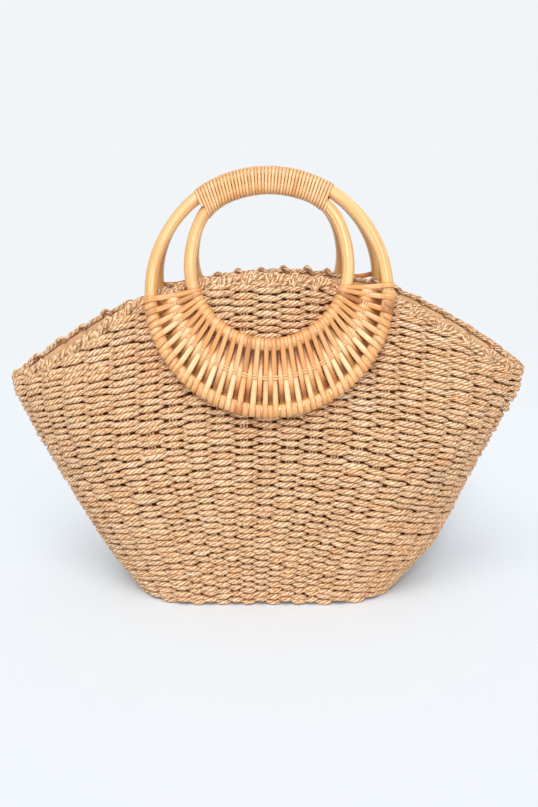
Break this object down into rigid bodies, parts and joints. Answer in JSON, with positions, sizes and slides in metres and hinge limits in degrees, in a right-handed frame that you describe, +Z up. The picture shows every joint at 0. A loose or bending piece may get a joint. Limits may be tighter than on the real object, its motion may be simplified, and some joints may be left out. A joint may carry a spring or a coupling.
{
  "type": "straw basket bag",
  "caption": "Fan-shaped woven straw tote with a flat oval base, a bordered arched mouth, a lining, and double-ring rattan handles joined by woven cane crescents.",
  "frame": {"origin": "centre of the flat base", "axes": "+X along the width of the bag, -Y out of its front, +Z up"},
  "size_m": [0.4634, 0.1374, 0.3831],
  "materials": {
    "straw": "matte twisted paper cord, woven",
    "straw_border": "matte twisted paper cord, turned over",
    "lining": "matte plain cloth",
    "rattan": "varnished round cane",
    "split_cane": "varnished flat cane strip"
  },
  "bodies": {
    "root": {"basket_body": "straw", "rim_border": "straw_border", "lining": "lining", "front_outer_ring": "rattan", "front_inner_ring": "rattan", "front_grip_wrap": "split_cane", "front_cane_panel": "split_cane", "back_outer_ring": "rattan", "back_inner_ring": "rattan", "back_grip_wrap": "split_cane", "back_cane_panel": "split_cane"}
  },
  "joints": []
}
